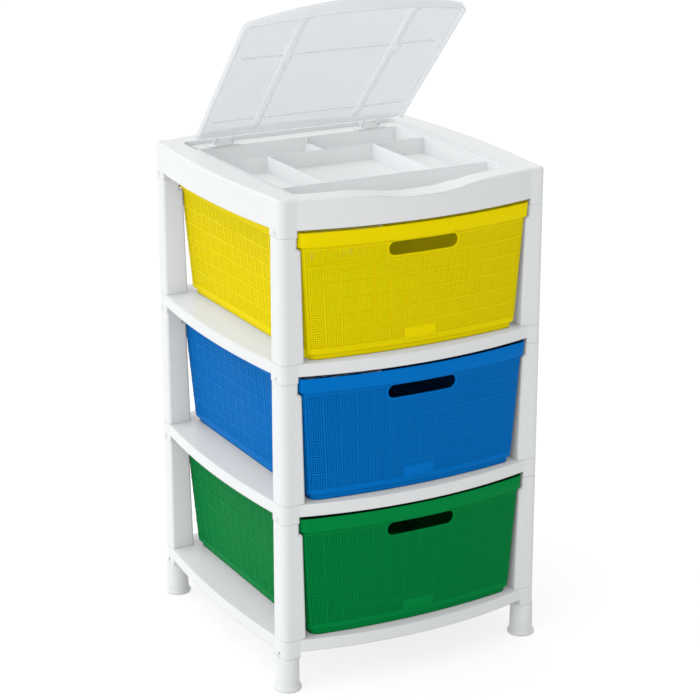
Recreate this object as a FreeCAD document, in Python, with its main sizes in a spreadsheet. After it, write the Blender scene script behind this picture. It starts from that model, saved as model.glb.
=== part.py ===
import FreeCAD
import Part
import PartDesign
import Sketcher
import math
import os

# Drawer tower on four feet: three shelves and a top deck on posts, three drawers that
# slide out to the front, and a clear lid hinged at the rear of the deck's tray.
# Lengths are in millimetres, angles in degrees; X runs along the front, Y to the rear,
# Z up, and the floor under the middle of the tower is the origin.

document = FreeCAD.newDocument("drawer_tower")
sheet = document.addObject("Spreadsheet::Sheet", "Sizes")


class Size:
    """A number together with the sheet expression that gives it."""

    def __init__(self, number, words):
        self.number = number
        self.words = words

    def __add__(self, other):
        return joined(self, "+", other)

    def __sub__(self, other):
        return joined(self, "-", other)

    def __mul__(self, other):
        return joined(self, "*", other)

    def __truediv__(self, other):
        return joined(self, "/", other)

    def __neg__(self):
        return Size(-self.number, "(-%s)" % self.words)


def as_size(thing):
    """A plain count or sign as a Size."""
    return thing if isinstance(thing, Size) else Size(thing, "(%s)" % thing)


def joined(first, sign, second):
    """The Size that an arithmetic sign makes of two others."""
    second = as_size(second)
    results = {
        "+": lambda a, b: a + b,
        "-": lambda a, b: a - b,
        "*": lambda a, b: a * b,
        "/": lambda a, b: a / b,
    }
    number = results[sign](first.number, second.number)
    return Size(number, "(%s %s %s)" % (first.words, sign, second.words))


def root(size):
    """The square root of a Size."""
    return Size(math.sqrt(size.number), "sqrt(%s)" % size.words)


def cell(alias, number):
    """Write one driving value into the sheet and return it as a Size."""
    cell.row += 1
    sheet.set("A%d" % cell.row, alias)
    sheet.set("B%d" % cell.row, str(number))
    sheet.setAlias("B%d" % cell.row, alias)
    return Size(number, "Sizes." + alias)


cell.row = 0
nothing = Size(0, "0")

# Levels of the frame.
leg_height = cell("leg_height", 44.0)
tier_pitch = cell("tier_pitch", 177.6)
socket_drop = cell("socket_drop", 8.2)
skirt_height = cell("skirt_height", 15.8)
deck_height = cell("deck_height", 37.0)

# Plan of the shelves and the deck: flat corners with bowed sides between them.
flat_half_width = cell("flat_half_width", 181.0)
flat_half_depth = cell("flat_half_depth", 179.0)
corner_round = cell("corner_round", 9.0)
front_bow = cell("front_bow", 22.0)
side_bow = cell("side_bow", 9.0)
plate_thickness = cell("plate_thickness", 2.2)
skirt_wall = cell("skirt_wall", 2.2)

# Posts.
post_depth = cell("post_depth", 28.0)
post_neck = cell("post_neck", 22.0)
post_waist = cell("post_waist", 27.0)
post_base = cell("post_base", 30.5)
post_wall = cell("post_wall", 2.2)
post_bevel = cell("post_bevel", 2.0)
post_cap = cell("post_cap", 4.0)
shoulder_drop = cell("shoulder_drop", 14.4)
shoulder_bevel = cell("shoulder_bevel", 3.0)

# Plug connections between posts, feet and shelves.
fit_gap = cell("fit_gap", 0.3)
spigot_width = cell("spigot_width", 14.0)
spigot_depth = cell("spigot_depth", 20.0)
spigot_height = cell("spigot_height", 10.5)
peg_height = cell("peg_height", 12.0)
peg_slant = cell("peg_slant", 0.9)
button_radius = cell("button_radius", 1.8)
button_height = cell("button_height", 5.0)

# Feet.
foot_rim_radius = cell("foot_rim_radius", 17.6)
foot_rim_height = cell("foot_rim_height", 6.6)
foot_rim_slope = cell("foot_rim_slope", 2.6)
foot_leg_radius = cell("foot_leg_radius", 14.6)
foot_bore_radius = cell("foot_bore_radius", 11.5)
foot_crown = cell("foot_crown", 4.0)

# Deck: bevelled top edge, recess for the lid, compartments and finger dip.
deck_wall = cell("deck_wall", 2.5)
deck_bevel = cell("deck_bevel", 2.4)
side_border = cell("side_border", 27.5)
front_border = cell("front_border", 29.0)
rear_border = cell("rear_border", 27.0)
recess_depth = cell("recess_depth", 4.7)
recess_bow_radius = cell("recess_bow_radius", 640.0)
recess_round = cell("recess_round", 8.0)
side_ledge = cell("side_ledge", 11.5)
front_ledge = cell("front_ledge", 4.5)
rear_ledge = cell("rear_ledge", 27.0)
tray_depth = cell("tray_depth", 19.3)
tray_draft = cell("tray_draft", 9.0)
tray_floor = cell("tray_floor", 2.2)
divider = cell("divider", 2.4)
back_row_depth = cell("back_row_depth", 74.0)
front_row_depth = cell("front_row_depth", 62.5)
left_row_width = cell("left_row_width", 59.0)
right_row_width = cell("right_row_width", 75.0)
back_left_width = cell("back_left_width", 151.0)
low_divider_drop = cell("low_divider_drop", 7.3)
band_hollow = cell("band_hollow", 10.5)
dip_depth = cell("dip_depth", 7.7)
dip_half_width = cell("dip_half_width", 96.0)
dip_slope_width = cell("dip_slope_width", 81.0)
dip_reach = cell("dip_reach", 38.0)
drain_width = cell("drain_width", 4.5)
drain_length = cell("drain_length", 24.0)
drain_inset = cell("drain_inset", 6.5)
drain_setback = cell("drain_setback", 2.0)

# Drawers.
drawer_lift = cell("drawer_lift", 0.3)
plinth_height = cell("plinth_height", 7.0)
plinth_inset = cell("plinth_inset", 4.0)
plinth_front_inset = cell("plinth_front_inset", 2.2)
wall_lean = cell("wall_lean", 9.0)
wall_low_bow_radius = cell("wall_low_bow_radius", 830.0)
wall_high_bow_radius = cell("wall_high_bow_radius", 650.0)
drawer_play = cell("drawer_play", 0.5)
drawer_headroom = cell("drawer_headroom", 3.5)
front_setback = cell("front_setback", 1.0)
rear_setback = cell("rear_setback", 7.0)
drawer_round = cell("drawer_round", 12.0)
drawer_wall = cell("drawer_wall", 1.7)
rim_height = cell("rim_height", 18.0)
rim_front_step = cell("rim_front_step", 2.5)
rim_draft = cell("rim_draft", 1.2)
relief = cell("relief", 1.0)
slot_width = cell("slot_width", 94.0)
slot_height = cell("slot_height", 17.5)
slot_drop = cell("slot_drop", 10.6)
slot_border = cell("slot_border", 2.0)
label_width = cell("label_width", 43.4)
label_height = cell("label_height", 15.0)
label_level = cell("label_level", 20.0)
front_overrun = cell("front_overrun", 5.0)
front_cut_reach = cell("front_cut_reach", 30.0)

# Lid, measured from its hinge axis, and the bearings it turns in.
axis_setback = cell("axis_setback", 21.5)
axis_above_ledge = cell("axis_above_ledge", 5.2)
lid_angle = cell("lid_angle", 47.3)
lid_underside = cell("lid_underside", 1.5)
lid_thickness = cell("lid_thickness", 2.0)
lid_start = cell("lid_start", 8.0)
finger_gap = cell("finger_gap", 31.0)
lid_play = cell("lid_play", 1.5)
lid_taper = cell("lid_taper", 4.0)
lid_bow_radius = cell("lid_bow_radius", 390.0)
lid_round = cell("lid_round", 10.0)
lid_wall = cell("lid_wall", 1.8)
lip_middle_depth = cell("lip_middle_depth", 20.0)
lip_end_depth = cell("lip_end_depth", 11.0)
lip_play = cell("lip_play", 5.0)
flange_depth = cell("flange_depth", 8.4)
flange_width = cell("flange_width", 4.0)
long_rib_width = cell("long_rib_width", 9.0)
long_rib_depth = cell("long_rib_depth", 5.6)
long_rib_inset = cell("long_rib_inset", 76.0)
long_rib_rear = cell("long_rib_rear", 30.0)
long_rib_setback = cell("long_rib_setback", 13.5)
tab_width = cell("tab_width", 4.0)
tab_length = cell("tab_length", 13.0)
cross_rib_inset = cell("cross_rib_inset", 17.0)
cross_rib_width = cell("cross_rib_width", 2.4)
cross_rib_depth = cell("cross_rib_depth", 2.6)
cross_rib_rear = cell("cross_rib_rear", 46.0)
cross_rib_setback = cell("cross_rib_setback", 96.5)
pin_radius = cell("pin_radius", 2.5)
pin_gap = cell("pin_gap", 0.05)
arm_radius = cell("arm_radius", 3.5)
arm_reach = cell("arm_reach", 12.0)
arm_width = cell("arm_width", 3.2)
clip_inset = cell("clip_inset", 47.5)
clip_length = cell("clip_length", 42.0)
clip_plate = cell("clip_plate", 1.2)
clip_half_depth = cell("clip_half_depth", 6.5)
bearing_length = cell("bearing_length", 20.0)
bearing_half_depth = cell("bearing_half_depth", 5.2)
bearing_top = cell("bearing_top", 3.6)
bearing_mouth = cell("bearing_mouth", 4.2)

# Cuts run past the faces they open by this much.
overrun = cell("overrun", 1.0)
document.recompute()

SIDES = {"left": -1, "right": 1}
ENDS = {"front": -1, "rear": 1}
TIERS = ("lower", "middle", "upper")
SHELVES = ("base_shelf", "middle_shelf", "upper_shelf")

post_height = tier_pitch - skirt_height - socket_drop
post_centre_x = flat_half_width - post_neck / 2
post_centre_y = flat_half_depth - post_depth / 2
bow_start_x = flat_half_width - post_neck - fit_gap
bow_start_y = flat_half_depth - post_depth

recess_half_width = flat_half_width - side_border
recess_front = flat_half_depth + front_bow - front_border
recess_rear = flat_half_depth - rear_border
tray_half_width = recess_half_width - side_ledge
tray_front = recess_front - front_ledge
tray_rear = recess_rear - rear_ledge
front_divider_y = front_row_depth - tray_front
rear_divider_y = tray_rear - back_row_depth
left_divider_x = left_row_width - tray_half_width
right_divider_x = tray_half_width - right_row_width
back_divider_x = back_left_width - tray_half_width

wall_height = (tier_pitch - skirt_height - drawer_lift - drawer_headroom
               - plinth_height - rim_height)
rim_half_width = flat_half_width - post_neck - drawer_play
rim_front = flat_half_depth + front_bow - front_setback
rim_rear = flat_half_depth - rear_setback
wall_high_half_width = flat_half_width - post_waist - drawer_play
wall_high_front = rim_front - rim_front_step
wall_high_rear = rim_rear - post_waist + post_neck
wall_low_half_width = wall_high_half_width - wall_lean
wall_low_front = wall_high_front - wall_lean
wall_low_rear = wall_high_rear - wall_lean
plinth_half_width = wall_low_half_width - plinth_inset
plinth_front = wall_low_front - plinth_front_inset
plinth_rear = wall_low_rear - plinth_inset
slot_level = plinth_height + wall_height - slot_drop

axis_y = recess_rear - axis_setback
clip_x = recess_half_width - clip_inset
lid_reach = axis_y + recess_front - finger_gap
lid_front_half_width = recess_half_width - lid_play
lid_rear_half_width = lid_front_half_width - lid_taper
lip_half_width = tray_half_width - lip_play
long_rib_front_x = lid_front_half_width - long_rib_inset
long_rib_rear_x = lid_rear_half_width - long_rib_inset
long_rib_front = lid_reach - long_rib_setback
cross_rib_half_length = lid_front_half_width - cross_rib_inset
cross_rib_front = lid_reach - cross_rib_setback


def bind(thing, name, size):
    """Tie a property of a document object to the sheet."""
    thing.setExpression(name, size.words)


def new_body(label):
    """An empty body with its label."""
    body = document.addObject("PartDesign::Body", label)
    body.Label = label
    return body


def sketch_on(body, name, role, offset):
    """A sketch on one of the body's origin planes, moved along the plane's normal."""
    sketch = body.newObject("Sketcher::SketchObject", name)
    plane = [item for item in body.Origin.OriginFeatures if item.Role == role][0]
    sketch.AttachmentSupport = (plane, [""])
    sketch.MapMode = "FlatFace"
    bind(sketch, "AttachmentOffset.Base.z", offset)
    return sketch


def arc_between(start, end, radius, centre_on_left):
    """The arc edge from start to end about a centre on the named side of its chord."""
    run = end - start
    mid = (start + end) / 2
    rise = math.sqrt(max(radius ** 2 - (run.Length / 2) ** 2, 0))
    across = FreeCAD.Vector(-run.y, run.x, 0).normalize()
    centre = mid + across * (rise if centre_on_left else -rise)
    first, last = (start, end) if centre_on_left else (end, start)
    first_angle = math.atan2(first.y - centre.y, first.x - centre.x)
    last_angle = math.atan2(last.y - centre.y, last.x - centre.x)
    if last_angle < first_angle:
        last_angle += 2 * math.pi
    circle = Part.Circle(centre, FreeCAD.Vector(0, 0, 1), radius)
    return Part.ArcOfCircle(circle, first_angle, last_angle)


def trace(sketch, corners):
    """Add a closed outline to a sketch with every corner and radius tied to the sheet.

    Each corner is (x, y) or (x, y, radius). The radius rounds the edge that leaves the
    corner, outwards, or inwards when it is negative; a half circle is held by its centre.
    """
    count = len(corners)
    first = sketch.GeometryCount
    points = [FreeCAD.Vector(corner[0].number, corner[1].number, 0) for corner in corners]
    area = sum(points[i - 1].x * points[i].y - points[i].x * points[i - 1].y for i in range(count))
    edges = []
    ends = []
    for i, corner in enumerate(corners):
        start = points[i]
        end = points[(i + 1) % count]
        if len(corner) == 2:
            edges.append(Part.LineSegment(start, end))
            ends.append((1, 2))
            continue
        centre_on_left = (corner[2].number > 0) == (area > 0)
        edges.append(arc_between(start, end, abs(corner[2].number), centre_on_left))
        ends.append((1, 2) if centre_on_left else (2, 1))
    sketch.addGeometry(edges, False)
    rules = []
    sizes = []
    for i, corner in enumerate(corners):
        edge = first + i
        after = (i + 1) % count
        rules.append(Sketcher.Constraint("Coincident", edge, ends[i][1], first + after, ends[after][0]))
        sizes.append(None)
        rules.append(Sketcher.Constraint("DistanceX", -1, 1, edge, ends[i][0], corner[0].number))
        sizes.append(corner[0])
        rules.append(Sketcher.Constraint("DistanceY", -1, 1, edge, ends[i][0], corner[1].number))
        sizes.append(corner[1])
        if len(corner) == 3:
            radius = corner[2] if corner[2].number > 0 else -corner[2]
            run = points[after] - points[i]
            if not near(run.Length, radius.number * 2):
                rules.append(Sketcher.Constraint("Radius", edge, radius.number))
                sizes.append(radius)
            elif abs(run.x) < abs(run.y):
                rules.append(Sketcher.Constraint("DistanceX", -1, 1, edge, 3, corner[0].number))
                sizes.append(corner[0])
            else:
                rules.append(Sketcher.Constraint("DistanceY", -1, 1, edge, 3, corner[1].number))
                sizes.append(corner[1])
    base = sketch.ConstraintCount
    sketch.addConstraint(rules)
    for i, size in enumerate(sizes):
        if size is not None:
            bind(sketch, "Constraints[%d]" % (base + i), size)


def ring(sketch, x, y, radius):
    """Add a circle tied to the sheet."""
    edge = sketch.addGeometry(Part.Circle(
        FreeCAD.Vector(x.number, y.number, 0), FreeCAD.Vector(0, 0, 1), radius.number), False)
    for rule, size in (
            (Sketcher.Constraint("DistanceX", -1, 1, edge, 3, x.number), x),
            (Sketcher.Constraint("DistanceY", -1, 1, edge, 3, y.number), y),
            (Sketcher.Constraint("Radius", edge, radius.number), radius)):
        bind(sketch, "Constraints[%d]" % sketch.addConstraint(rule), size)


def octagon(x, y, reach):
    """Corners of an octagon about a point, reach being the distance to its sides."""
    half_side = reach * (root(as_size(2)) - 1)
    return [
        (x - half_side, y - reach),
        (x + half_side, y - reach),
        (x + reach, y - half_side),
        (x + reach, y + half_side),
        (x + half_side, y + reach),
        (x - half_side, y + reach),
        (x - reach, y + half_side),
        (x - reach, y - half_side),
    ]


def pad(body, sketch, length, reverse=False, symmetric=False):
    """Raise a sketch into the body's solid."""
    feature = body.newObject("PartDesign::Pad", sketch.Name + "_pad")
    return extrude(feature, sketch, length, reverse, symmetric)


def pocket(body, sketch, length, reverse=False, symmetric=False, draft=None):
    """Cut a sketch out of the body's solid, against the sketch normal unless reversed."""
    feature = body.newObject("PartDesign::Pocket", sketch.Name + "_pocket")
    if draft is not None:
        bind(feature, "TaperAngle", draft)
    return extrude(feature, sketch, length, reverse, symmetric)


def extrude(feature, sketch, length, reverse, symmetric):
    """Set what pads and pockets have in common."""
    feature.Profile = sketch
    bind(feature, "Length", length)
    feature.Reversed = reverse
    if symmetric:
        feature.SideType = "Symmetric"
    sketch.Visibility = False
    return feature


def loft(body, name, sections):
    """A ruled solid through the given sketches."""
    feature = body.newObject("PartDesign::AdditiveLoft", name)
    feature.Profile = sections[0]
    feature.Sections = sections[1:]
    feature.Ruled = True
    return feature


def soften(body, feature, kind, size, wanted):
    """Fillet or chamfer the feature's edges for which wanted(edge) is true."""
    document.recompute()
    names = ["Edge%d" % (i + 1) for i, edge in enumerate(feature.Shape.Edges) if wanted(edge)]
    softened = body.newObject("PartDesign::" + kind, feature.Name + "_" + kind)
    softened.Base = (feature, names)
    bind(softened, "Radius" if kind == "Fillet" else "Size", size)
    return softened


def near(first, second):
    """Whether two numbers agree to within a hair."""
    return abs(first - second) < overrun.number / 1000


def corner_levels(edge, axis):
    """The coordinates of an edge's ends along one axis."""
    return [getattr(vertex.Point, axis) for vertex in edge.Vertexes]


def place(thing, x=nothing, y=nothing, z=nothing):
    """Put a body or boolean at its place in the tower."""
    bind(thing, "Placement.Base.x", x)
    bind(thing, "Placement.Base.y", y)
    bind(thing, "Placement.Base.z", z)


def hollow_plan(inset):
    """The plan moved inwards by the inset, for the hollow between the corner blocks."""
    outline = plan(inset)
    return [corner for i, corner in enumerate(outline) if i % 4 in (0, 1)]


def plan(inset):
    """Outline of a shelf or the deck, moved inwards by the inset."""
    wide = flat_half_width - inset
    deep = flat_half_depth - inset
    turn = corner_round - inset
    front_radius = (bow_start_x * bow_start_x + front_bow * front_bow) / (front_bow * 2)
    side_radius = (bow_start_y * bow_start_y + side_bow * side_bow) / (side_bow * 2)
    return [
        (-bow_start_x, -deep, front_radius),
        (bow_start_x, -deep),
        (wide - turn, -deep, turn),
        (wide, turn - deep),
        (wide, -bow_start_y, side_radius),
        (wide, bow_start_y),
        (wide, deep - turn, turn),
        (wide - turn, deep),
        (bow_start_x, deep, front_radius),
        (-bow_start_x, deep),
        (turn - wide, deep, turn),
        (-wide, deep - turn),
        (-wide, bow_start_y, side_radius),
        (-wide, -bow_start_y),
        (-wide, turn - deep, turn),
        (turn - wide, -deep),
    ]


def rectangle(left, right, front, rear):
    """Corners of a rectangle."""
    return [(left, front), (right, front), (right, rear), (left, rear)]


def bowed_box(half_width, front, rear, bow_radius, turn, rear_half_width=None, rear_turn=None):
    """Rounded box whose front is an arc; the front is a distance towards -Y."""
    rear_half_width = rear_half_width or half_width
    rear_turn = rear_turn or turn
    reach = bow_radius - turn
    turn_x = half_width - turn
    drop = root(reach * reach - turn_x * turn_x)
    middle = bow_radius - front
    touch_x = turn_x * bow_radius / reach
    touch_y = middle - drop * bow_radius / reach
    return [
        (-touch_x, touch_y, bow_radius),
        (touch_x, touch_y, turn),
        (half_width, middle - drop),
        (rear_half_width, rear - rear_turn, rear_turn),
        (rear_half_width - rear_turn, rear),
        (rear_turn - rear_half_width, rear, rear_turn),
        (-rear_half_width, rear - rear_turn),
        (-half_width, middle - drop, turn),
    ]


def sharp_bowed_box(half_width, front, rear, bow_radius):
    """Box with sharp corners whose front is an arc."""
    front_y = bow_radius - front - root(bow_radius * bow_radius - half_width * half_width)
    return [
        (-half_width, front_y, bow_radius),
        (half_width, front_y),
        (half_width, rear),
        (-half_width, rear),
    ]


def corner_outline(side, end):
    """Plan of the block over a post: rounded like the plan outside, sharp inside."""
    inner_x = (flat_half_width - post_neck) * side
    inner_y = (flat_half_depth - post_depth) * end
    outer_x = flat_half_width * side
    outer_y = flat_half_depth * end
    return [
        (inner_x, inner_y),
        (outer_x, inner_y),
        (outer_x, outer_y - corner_round * end, corner_round),
        (outer_x - corner_round * side, outer_y),
        (inner_x, outer_y),
    ]


def plug_outline(side, end, gap):
    """Plan of a spigot at a tower corner, grown by the gap for its socket."""
    half_width = spigot_width / 2 + gap
    half_depth = spigot_depth / 2 + gap
    middle_x = post_centre_x * side
    middle_y = post_centre_y * end
    return rectangle(middle_x - half_width, middle_x + half_width,
                     middle_y - half_depth, middle_y + half_depth)


def peg_outline(side, end):
    """Plan of the peg that fills the hollow foot of a post, cut like it at the rounded corner."""
    gap = post_wall + fit_gap
    cut = corner_round - post_wall
    inner = (flat_half_width - post_base + gap + peg_slant) * side
    outer = (flat_half_width - gap) * side
    tower_middle = (flat_half_depth - post_depth + gap) * end
    tower_face = (flat_half_depth - gap) * end
    return [
        (inner, tower_middle),
        (outer, tower_middle),
        (outer, tower_face - cut * end),
        (outer - cut * side, tower_face),
        (inner, tower_face),
    ]


def add_sockets(body, seam, top):
    """Four blocks from the seam up to the given level, each with a socket and a snap hole."""
    blocks = sketch_on(body, "blocks", "XY_Plane", seam)
    sockets = sketch_on(body, "sockets", "XY_Plane", seam)
    for side in SIDES.values():
        for end in ENDS.values():
            trace(blocks, corner_outline(side, end))
            trace(sockets, plug_outline(side, end, fit_gap))
    pad(body, blocks, top - seam)
    pocket(body, sockets, spigot_height + fit_gap * 2, reverse=True)
    for name, side in SIDES.items():
        holes = sketch_on(body, name + "_snaps", "YZ_Plane", flat_half_width * side)
        for end in ENDS.values():
            trace(holes, octagon(post_centre_y * end, seam + button_height, button_radius + fit_gap))
        pocket(body, holes, post_neck / 2 - spigot_width / 2, reverse=side < 0)


def add_plug(body, side, centre_x, centre_y, seam):
    """A spigot that stands on the seam, with a snap button on its outer face."""
    half_width = spigot_width / 2
    half_depth = spigot_depth / 2
    spigot = sketch_on(body, "spigot", "XY_Plane", seam)
    trace(spigot, rectangle(centre_x - half_width, centre_x + half_width,
                            centre_y - half_depth, centre_y + half_depth))
    pad(body, spigot, spigot_height)
    button = sketch_on(body, "button", "YZ_Plane", centre_x)
    trace(button, octagon(centre_y, seam + button_height, button_radius))
    pad(body, button, post_neck / 2 - fit_gap, reverse=side < 0)


def build_shelf(label, tier):
    """A shelf: bowed plate with a skirt, corner sockets below and pegs for posts above."""
    body = new_body(label)
    outline = sketch_on(body, "outline", "XY_Plane", -skirt_height)
    trace(outline, plan(nothing))
    pad(body, outline, skirt_height)
    hollow = sketch_on(body, "hollow", "XY_Plane", -skirt_height)
    trace(hollow, hollow_plan(skirt_wall))
    pocket(body, hollow, skirt_height - plate_thickness, reverse=True)
    add_sockets(body, -skirt_height - socket_drop, -plate_thickness)
    pegs = sketch_on(body, "pegs", "XY_Plane", nothing)
    for side in SIDES.values():
        for end in ENDS.values():
            trace(pegs, peg_outline(side, end))
    pad(body, pegs, peg_height)
    place(body, z=shelf_level(tier))
    return body


def shelf_level(tier):
    """Height of a shelf's top face above the floor; tier counts from the bottom."""
    return leg_height + socket_drop + skirt_height + tier_pitch * tier


def build_post(label, tier, side, end):
    """A hollow post with a shoulder under its narrow neck and a spigot on top."""
    body = new_body(label)
    outer = flat_half_width * side
    neck = (flat_half_width - post_neck) * side
    waist = (flat_half_width - post_waist) * side
    base = (flat_half_width - post_base) * side
    shoulder = post_height - shoulder_drop
    front_view = sketch_on(body, "front_view", "XZ_Plane", -post_centre_y * end)
    trace(front_view, [
        (outer, nothing),
        (outer, post_height),
        (neck, post_height),
        (neck, shoulder),
        (waist + shoulder_bevel * side, shoulder),
        (waist, shoulder - shoulder_bevel),
        (base, nothing),
    ])
    pad(body, front_view, post_depth, symmetric=True)
    outer_y = flat_half_depth * end
    hollow_x = outer - post_wall * side
    hollow_y = outer_y - post_wall * end

    def upright(edge):
        levels = corner_levels(edge, "z")
        return not near(levels[0], levels[-1])

    def outside(edge):
        return all(near(x, outer.number) for x in corner_levels(edge, "x"))

    def tower_face(edge):
        return all(near(y, outer_y.number) for y in corner_levels(edge, "y"))

    def inside(edge):
        ys = corner_levels(edge, "y")
        beyond = all(abs(x) < abs(neck.number) + overrun.number for x in corner_levels(edge, "x"))
        capped = not upright(edge) and not near(corner_levels(edge, "z")[0], shoulder.number)
        return beyond and not capped and near(ys[0], ys[-1])

    def hollow_corner(edge):
        xs = corner_levels(edge, "x")
        ys = corner_levels(edge, "y")
        return (upright(edge) and all(near(x, hollow_x.number) for x in xs)
                and all(near(y, hollow_y.number) for y in ys))

    hollow = sketch_on(body, "hollow", "XZ_Plane", -post_centre_y * end)
    trace(hollow, [
        (hollow_x, -overrun),
        (hollow_x, post_height - post_cap),
        (neck + post_wall * side, post_height - post_cap),
        (base + post_wall * side, nothing),
        (base + post_wall * side, -overrun),
    ])
    walls = pocket(body, hollow, post_depth - post_wall * 2, symmetric=True)
    walls = soften(body, walls, "Chamfer", corner_round - post_wall, hollow_corner)
    walls = soften(body, walls, "Fillet", corner_round,
                   lambda edge: upright(edge) and outside(edge) and tower_face(edge))
    soften(body, walls, "Chamfer", post_bevel,
           lambda edge: inside(edge) or (upright(edge) and outside(edge) and not tower_face(edge)))
    add_plug(body, side, post_centre_x * side, post_centre_y * end, post_height)
    place(body, z=shelf_level(tier))
    return body


def build_foot(label, side, end):
    """A turned hollow foot with a flared rim and a spigot on top."""
    body = new_body(label)
    profile = sketch_on(body, "profile", "XZ_Plane", nothing)
    trace(profile, [
        (foot_bore_radius, nothing),
        (foot_rim_radius, nothing),
        (foot_rim_radius, foot_rim_height - foot_rim_slope),
        (foot_leg_radius, foot_rim_height),
        (foot_leg_radius, leg_height),
        (nothing, leg_height),
        (nothing, leg_height - foot_crown),
        (foot_bore_radius, leg_height - foot_crown),
    ])
    turned = body.newObject("PartDesign::Revolution", "turned")
    turned.Profile = profile
    turned.ReferenceAxis = (profile, ["V_Axis"])
    turned.Angle = 360
    add_plug(body, side, nothing, nothing, leg_height)
    place(body, post_centre_x * side, post_centre_y * end)
    return body


def recess_outline(inset):
    """Outline of the recess around the tray, moved inwards by the inset."""
    return bowed_box(recess_half_width - inset, recess_front - inset, recess_rear,
                     recess_bow_radius - inset, recess_round - inset)


def compartments():
    """Outlines of the six compartments of the tray."""
    side = tray_half_width
    half = divider / 2
    middle_front = front_divider_y + half
    middle_rear = rear_divider_y - half
    back_front = rear_divider_y + half
    return {
        "front": sharp_bowed_box(side, tray_front, front_divider_y - half,
                                 recess_bow_radius - front_ledge),
        "left": rectangle(-side, left_divider_x - half, middle_front, middle_rear),
        "middle": rectangle(left_divider_x + half, right_divider_x - half, middle_front, middle_rear),
        "right": rectangle(right_divider_x + half, side, middle_front, middle_rear),
        "back_left": rectangle(-side, back_divider_x - half, back_front, tray_rear),
        "back_right": rectangle(back_divider_x + half, side, back_front, tray_rear),
    }


def dip_outline():
    """Front view of the finger dip in the deck's front band: flat between two S curves."""
    bend_width = dip_slope_width / 2
    bend_drop = dip_depth / 2
    bend = (bend_width * bend_width + bend_drop * bend_drop) / (bend_drop * 2)
    outer = dip_half_width
    middle = dip_half_width - bend_width
    inner = dip_half_width - dip_slope_width
    return [
        (-outer, nothing, -bend),
        (-middle, -bend_drop, bend),
        (-inner, -dip_depth),
        (inner, -dip_depth, bend),
        (middle, -bend_drop, -bend),
        (outer, nothing),
        (outer, overrun),
        (-outer, overrun),
    ]


def build_deck():
    """The deck: bevelled shell with a recessed tray of compartments and corner sockets."""
    body = new_body("top_deck")
    outline = sketch_on(body, "outline", "XY_Plane", -deck_height)
    trace(outline, plan(nothing))
    slab = pad(body, outline, deck_height)
    soften(body, slab, "Chamfer", deck_bevel, lambda edge: all(near(z, 0) for z in corner_levels(edge, "z")))
    dip = sketch_on(body, "dip", "XZ_Plane", flat_half_depth + front_bow + overrun)
    trace(dip, dip_outline())
    pocket(body, dip, dip_reach)
    recess = sketch_on(body, "recess", "XY_Plane", nothing)
    trace(recess, recess_outline(nothing))
    pocket(body, recess, recess_depth)
    for name, outline in compartments().items():
        compartment = sketch_on(body, name, "XY_Plane", -recess_depth)
        trace(compartment, outline)
        pocket(body, compartment, tray_depth, draft=-tray_draft)
    floor = -recess_depth - tray_depth
    low = sketch_on(body, "low_divider", "XY_Plane", -recess_depth)
    trace(low, rectangle(back_divider_x - divider, back_divider_x + divider,
                         rear_divider_y + divider * 2, tray_rear - divider * 2))
    pocket(body, low, low_divider_drop)
    drain = sketch_on(body, "drain", "XY_Plane", -recess_depth)
    drain_x = drain_inset - recess_half_width
    drain_rear = recess_rear - drain_setback
    trace(drain, rectangle(drain_x, drain_x + drain_width, drain_rear - drain_length, drain_rear))
    pocket(body, drain, deck_height)
    underside = sketch_on(body, "underside", "XY_Plane", -deck_height)
    trace(underside, hollow_plan(deck_wall))
    pocket(body, underside, deck_height + floor - tray_floor, reverse=True)
    band = sketch_on(body, "band", "XY_Plane", -deck_height)
    trace(band, hollow_plan(deck_wall))
    trace(band, sharp_bowed_box(tray_half_width + divider, tray_front + divider, tray_rear + divider,
                                recess_bow_radius))
    pocket(body, band, deck_height - band_hollow, reverse=True)
    add_sockets(body, -deck_height - socket_drop, -band_hollow)
    place(body, z=deck_level())
    return body


def deck_level():
    """Height of the deck's top face above the floor."""
    return leg_height + tier_pitch * len(TIERS) + socket_drop + deck_height


def drawer_section(body, name, level, shape, inset, flat_corners=False):
    """A level section of a drawer; the shape is (half width, front, rear, bow radius)."""
    sketch = sketch_on(body, name, "XY_Plane", level)
    half_width, front, rear, bow_radius = shape
    outline = bowed_box(half_width - inset, front - inset, rear - inset, bow_radius - inset,
                        drawer_round - inset)
    if flat_corners:
        outline = [outline[0]] + [corner[:2] for corner in outline[1:]]
    trace(sketch, outline)
    return sketch


def stadium(half_width, half_height, level):
    """Outline with half-round ends, its middle at the given level."""
    straight = half_width - half_height
    return [
        (-straight, level - half_height),
        (straight, level - half_height, half_height),
        (straight, level + half_height),
        (-straight, level + half_height, half_height),
    ]


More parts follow.
